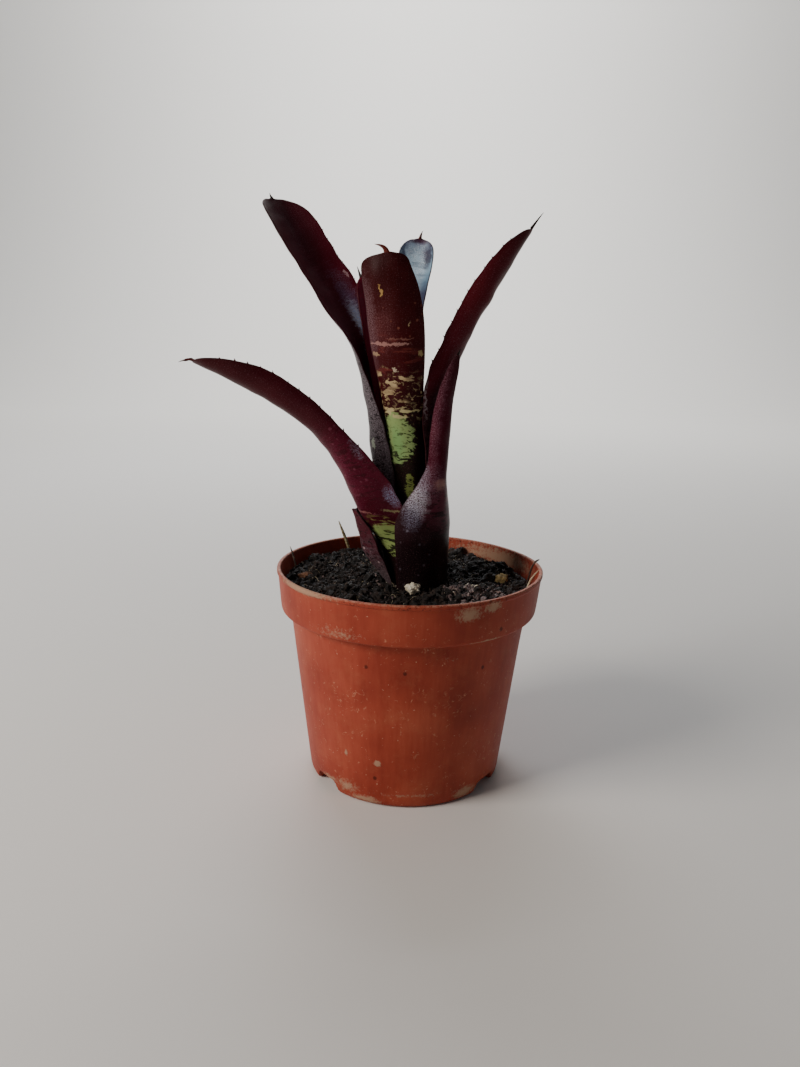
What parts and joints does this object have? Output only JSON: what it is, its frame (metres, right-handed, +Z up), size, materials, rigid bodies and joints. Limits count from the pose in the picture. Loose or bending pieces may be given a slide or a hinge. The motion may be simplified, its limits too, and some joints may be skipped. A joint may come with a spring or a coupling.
{
  "type": "neoregelia bromeliad",
  "caption": "Young bromeliad with stiff, spine-edged strap leaves that sheathe one another in an upright rosette, growing in peaty soil in a round tapered nursery pot.",
  "frame": {"origin": "centre of the pot's flat underside", "axes": "+Z up, -Y the front, +X the plant's right as seen from the front; the low leaf leans towards -X"},
  "size_m": [0.1418, 0.11, 0.2398],
  "materials": {
    "pot_plastic": "satin terracotta-coloured polypropylene, scuffed, with pale mineral deposits",
    "soil": "dark, damp, crumbly peat mix",
    "crown_wood": "fibrous brown stem base",
    "leaf_wine": "wine-red leaf, smooth on the face and scurfy on the back",
    "leaf_maroon": "dark maroon leaf with a waxy sheen",
    "leaf_mottled": "red-brown leaf back with pale cross bands and a green foot",
    "leaf_slate": "blue-grey waxy leaf face",
    "old_sheath": "dry, dull brown-purple leaf base",
    "pumice": "rough off-white pumice",
    "pebble": "matt tan stone",
    "bark": "rough brown bark",
    "straw": "dry pale stalk",
    "sprig": "dry olive-brown stalk"
  },
  "bodies": {
    "root": {"pot": "pot_plastic", "soil": "soil", "root_crown": "crown_wood", "leaf_front_right_short": "leaf_wine", "leaf_right_long": "leaf_maroon", "leaf_left_low": "leaf_wine", "leaf_left_tall": "leaf_maroon", "leaf_front_centre": "leaf_mottled", "leaf_rear_left": "leaf_maroon", "leaf_rear_right": "leaf_slate", "leaf_heart": "leaf_wine", "old_sheath_left": "old_sheath", "pumice_lump": "pumice", "tan_pebble": "pebble", "bark_piece": "bark", "soil_crumb": "soil", "pumice_crumb_left": "pumice", "pumice_crumb_right": "pumice", "pale_twig": "straw", "pale_straw": "straw", "sprig_left": "sprig", "sprig_right": "sprig"}
  },
  "joints": []
}
